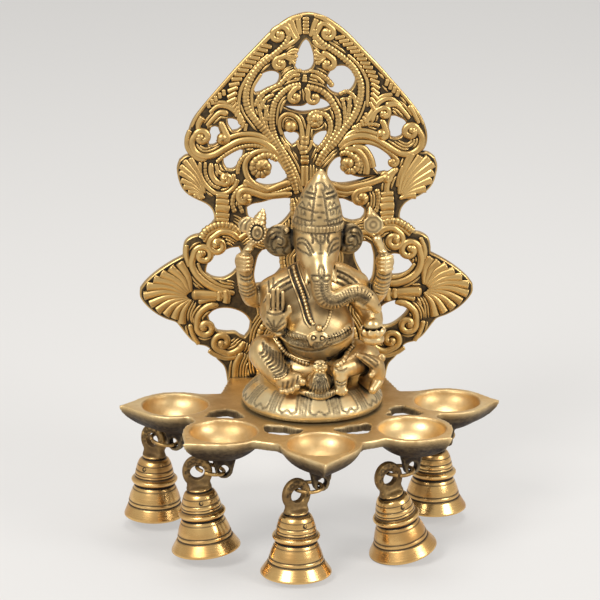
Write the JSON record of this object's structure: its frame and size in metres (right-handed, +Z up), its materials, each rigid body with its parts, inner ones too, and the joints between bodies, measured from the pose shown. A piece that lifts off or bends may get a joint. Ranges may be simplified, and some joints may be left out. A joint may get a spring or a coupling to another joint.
{
  "type": "wall oil lamp",
  "caption": "Cast brass wall lamp: pierced scroll back panel, tray of leaf-shaped oil cups, seated four-armed figure on a lotus seat, and a bell on a ring under each cup.",
  "frame": {"origin": "on the wall plane at the back of the panel foot, in the middle, level with the top of the oil tray", "axes": "+X to the viewer's right, +Y into the wall, +Z up"},
  "size_m": [0.1958, 0.1454, 0.2643],
  "materials": {
    "carved_brass": "cast and chased brass with dark patina in the recesses",
    "tray_brass": "filed and brushed cast brass, slightly rosy",
    "bell_brass": "lathe-turned brass with fine tool lines",
    "dark_brass": "dull darkened brass wire and cast loops"
  },
  "bodies": {
    "lamp": {"back_panel": "carved_brass", "lamp_tray": "tray_brass", "idol": "carved_brass", "idol_washer": "dark_brass", "idol_bolt": "dark_brass", "panel_screw_left": "dark_brass", "panel_screw_right": "dark_brass"},
    "ring_1": {"bell_ring_1": "dark_brass"},
    "bell_1": {"bell_1": "bell_brass", "clapper_pin_1": "dark_brass"},
    "clapper_1": {"clapper_1": "dark_brass"},
    "ring_2": {"bell_ring_2": "dark_brass"},
    "bell_2": {"bell_2": "bell_brass", "clapper_pin_2": "dark_brass"},
    "clapper_2": {"clapper_2": "dark_brass"},
    "ring_3": {"bell_ring_3": "dark_brass"},
    "bell_3": {"bell_3": "bell_brass", "clapper_pin_3": "dark_brass"},
    "clapper_3": {"clapper_3": "dark_brass"},
    "ring_4": {"bell_ring_4": "dark_brass"},
    "bell_4": {"bell_4": "bell_brass", "clapper_pin_4": "dark_brass"},
    "clapper_4": {"clapper_4": "dark_brass"},
    "ring_5": {"bell_ring_5": "dark_brass"},
    "bell_5": {"bell_5": "bell_brass", "clapper_pin_5": "dark_brass"},
    "clapper_5": {"clapper_5": "dark_brass"}
  },
  "joints": [
    {"name": "ring_1_swing", "type": "hinge", "parent": "lamp", "child": "ring_1", "pos_m": [-0.0708, -0.0485, -0.0216], "axis": [-0.6018, -0.7986, 0], "range_deg": [-3, 25]},
    {"name": "bell_1_swing", "type": "hinge", "parent": "ring_1", "child": "bell_1", "pos_m": [-0.08181, -0.0402, -0.01917], "axis": [0.6018, 0.7986, 0], "range_deg": [-20, 20]},
    {"name": "clapper_1_swing", "type": "hinge", "parent": "bell_1", "child": "clapper_1", "pos_m": [-0.08181, -0.0402, -0.03577], "axis": [-0.6018, -0.7986, 0], "range_deg": [-19, 19]},
    {"name": "ring_2_swing", "type": "hinge", "parent": "lamp", "child": "ring_2", "pos_m": [-0.04756, -0.09132, -0.0216], "axis": [0, -1, 0], "range_deg": [-3, 25]},
    {"name": "bell_2_swing", "type": "hinge", "parent": "ring_2", "child": "bell_2", "pos_m": [-0.0613, -0.09132, -0.01893], "axis": [0, 1, 0], "range_deg": [-20, 20]},
    {"name": "clapper_2_swing", "type": "hinge", "parent": "bell_2", "child": "clapper_2", "pos_m": [-0.05957, -0.09132, -0.03544], "axis": [0, -1, 0], "range_deg": [-13, 13]},
    {"name": "ring_3_swing", "type": "hinge", "parent": "lamp", "child": "ring_3", "pos_m": [0, -0.1128, -0.0216], "axis": [0.4226, -0.9063, 0], "range_deg": [-3, 25]},
    {"name": "bell_3_swing", "type": "hinge", "parent": "ring_3", "child": "bell_3", "pos_m": [-0.01268, -0.11871, -0.02209], "axis": [-0.4226, 0.9063, 0], "range_deg": [-20, 20]},
    {"name": "clapper_3_swing", "type": "hinge", "parent": "bell_3", "child": "clapper_3", "pos_m": [-0.01268, -0.11871, -0.03869], "axis": [0.4226, -0.9063, 0], "range_deg": [-19, 19]},
    {"name": "ring_4_swing", "type": "hinge", "parent": "lamp", "child": "ring_4", "pos_m": [0.04756, -0.09132, -0.0216], "axis": [0.4226, -0.9063, 0], "range_deg": [-3, 25]},
    {"name": "bell_4_swing", "type": "hinge", "parent": "ring_4", "child": "bell_4", "pos_m": [0.03488, -0.09724, -0.02209], "axis": [-0.4226, 0.9063, 0], "range_deg": [-20, 20]},
    {"name": "clapper_4_swing", "type": "hinge", "parent": "bell_4", "child": "clapper_4", "pos_m": [0.03827, -0.09566, -0.03826], "axis": [0.4226, -0.9063, 0], "range_deg": [-6, 6]},
    {"name": "ring_5_swing", "type": "hinge", "parent": "lamp", "child": "ring_5", "pos_m": [0.06999, -0.04972, -0.0216], "axis": [-0.9272, -0.3746, 0], "range_deg": [-3, 25]},
    {"name": "bell_5_swing", "type": "hinge", "parent": "ring_5", "child": "bell_5", "pos_m": [0.06482, -0.03694, -0.01917], "axis": [0.9272, 0.3746, 0], "range_deg": [-20, 20]},
    {"name": "clapper_5_swing", "type": "hinge", "parent": "bell_5", "child": "clapper_5", "pos_m": [0.06482, -0.03694, -0.03577], "axis": [-0.9272, -0.3746, 0], "range_deg": [-19, 19]}
  ]
}
